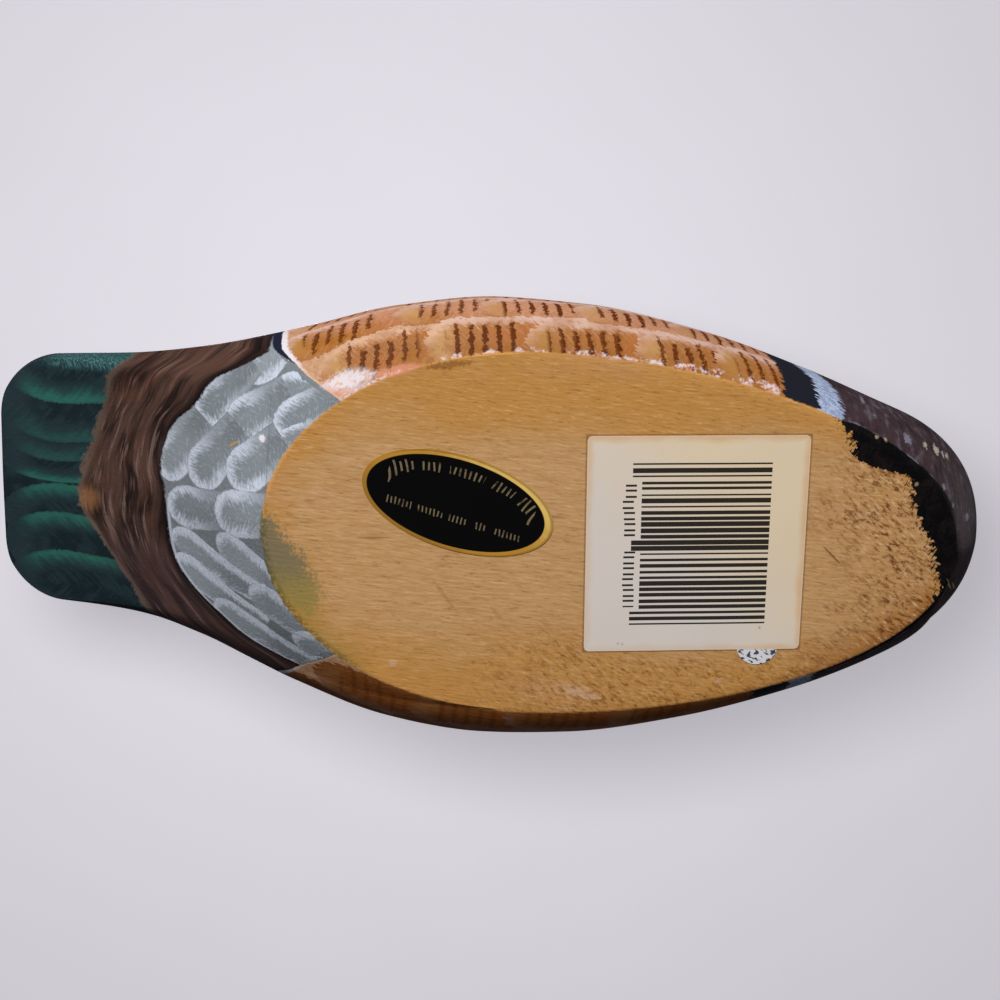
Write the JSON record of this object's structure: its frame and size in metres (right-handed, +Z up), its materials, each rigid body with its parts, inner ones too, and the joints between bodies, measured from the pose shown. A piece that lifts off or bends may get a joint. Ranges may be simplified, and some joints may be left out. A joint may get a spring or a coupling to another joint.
{
  "type": "duck decoy",
  "caption": "Small carved and painted wooden drake duck that stands on a flat oval base, with a head set on its neck.",
  "frame": {"origin": "under the middle of the duck's overall length, on the plane of its flat base", "axes": "+X from the tail to the breast, +Y to the duck's left side, +Z up from the base"},
  "size_m": [0.196, 0.0838, 0.0976],
  "materials": {
    "painted_wood": "hand-painted feathers under satin varnish, bare pale wood on the base",
    "painted_head": "hand-painted under satin varnish",
    "eye_glass": "glossy",
    "cream_paper": "yellowed paper label",
    "black_foil": "black foil label with a gold rim",
    "white_paper": "small white paper label"
  },
  "bodies": {
    "root": {"body": "painted_wood", "head": "painted_head", "eye_left": "eye_glass", "eye_right": "eye_glass", "square_label": "cream_paper", "oval_label": "black_foil", "round_label": "white_paper"}
  },
  "joints": []
}
